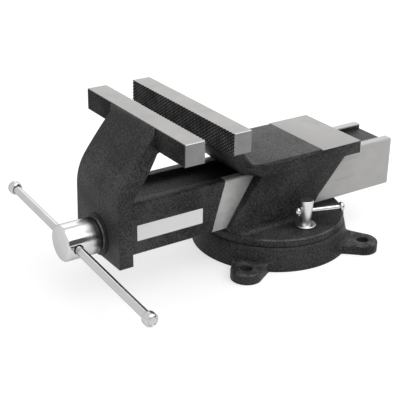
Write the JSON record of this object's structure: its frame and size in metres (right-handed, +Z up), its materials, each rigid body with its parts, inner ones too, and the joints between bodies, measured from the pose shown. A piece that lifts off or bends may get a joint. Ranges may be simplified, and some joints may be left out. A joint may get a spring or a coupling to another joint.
{
  "type": "swivel base bench vise",
  "caption": "Bolt-down bench vise on a swivel base, with an anvil table, a screw-driven sliding jaw and T-bar swivel locks.",
  "frame": {"origin": "on the swivel axis, in the plane of the bench under the base", "axes": "+X to the operator's right, +Y from the handle to the anvil, +Z up"},
  "size_m": [0.232, 0.3249, 0.1423],
  "materials": {
    "black_paint": "sand-textured charcoal black paint on cast iron",
    "ground_steel": "ground and bright",
    "chrome": "polished chrome plate",
    "zinc_plate": "satin zinc plate",
    "oiled_steel": "machined and oiled",
    "label": "blank white label"
  },
  "bodies": {
    "base": {"swivel_base": "black_paint"},
    "vise_body": {"fixed_body": "black_paint", "fixed_jaw_bar": "ground_steel", "screw_nut": "oiled_steel", "nut_bolts": "oiled_steel", "pivot_bolt": "zinc_plate", "pivot_washer": "zinc_plate", "lock_washer_right": "zinc_plate", "lock_washer_left": "zinc_plate", "t_nut_right": "oiled_steel", "t_nut_left": "oiled_steel"},
    "sliding_jaw": {"moving_jaw": "black_paint", "moving_jaw_bar": "ground_steel", "blank_label": "label", "thrust_washer": "zinc_plate", "spring_washer": "oiled_steel"},
    "screw": {"main_screw": "chrome", "retaining_collar": "oiled_steel", "collar_pin": "oiled_steel"},
    "handle": {"handle_bar": "chrome", "handle_cap_right": "chrome", "handle_cap_left": "chrome"},
    "lock_right": {"lock_bolt_right": "zinc_plate"},
    "lock_left": {"lock_bolt_left": "zinc_plate"},
    "lock_bar_right": {"lock_bar_right": "zinc_plate", "lock_bar_buttons_right": "zinc_plate"},
    "lock_bar_left": {"lock_bar_left": "zinc_plate", "lock_bar_buttons_left": "zinc_plate"}
  },
  "joints": [
    {"name": "swivel", "type": "hinge", "parent": "base", "child": "vise_body", "pos_m": [0, 0, 0.0206], "axis": [0, 0, 1], "continuous": true},
    {"name": "jaw_slide", "type": "slide", "parent": "vise_body", "child": "sliding_jaw", "axis": [0, 1, 0], "range_m": [-0.125, 0.025]},
    {"name": "screw_turn", "type": "hinge", "parent": "sliding_jaw", "child": "screw", "pos_m": [0, -0.178, 0.0477], "axis": [0, 1, 0], "range_deg": [-9000, 1800]},
    {"name": "handle_slide", "type": "slide", "parent": "screw", "child": "handle", "axis": [0.9974, 0, -0.0715], "range_m": [-0.1025, 0.0825]},
    {"name": "lock_turn_right", "type": "hinge", "parent": "vise_body", "child": "lock_right", "pos_m": [0.0447, 0.0035, 0.0274], "axis": [0, 0, 1], "range_deg": [-175, 30]},
    {"name": "lock_turn_left", "type": "hinge", "parent": "vise_body", "child": "lock_left", "pos_m": [-0.0447, 0.0035, 0.0274], "axis": [0, 0, 1], "range_deg": [-30, 175]},
    {"name": "lock_bar_slide_right", "type": "slide", "parent": "lock_right", "child": "lock_bar_right", "axis": [0.2874, 0.9578, 0], "range_m": [-0.0248, 0]},
    {"name": "lock_bar_slide_left", "type": "slide", "parent": "lock_left", "child": "lock_bar_left", "axis": [-0.2874, 0.9578, 0], "range_m": [-0.0248, 0]}
  ],
  "couplings": [
    {"joint": "jaw_slide", "follows": "screw_turn", "m_per_rad": 0.00079577}
  ]
}
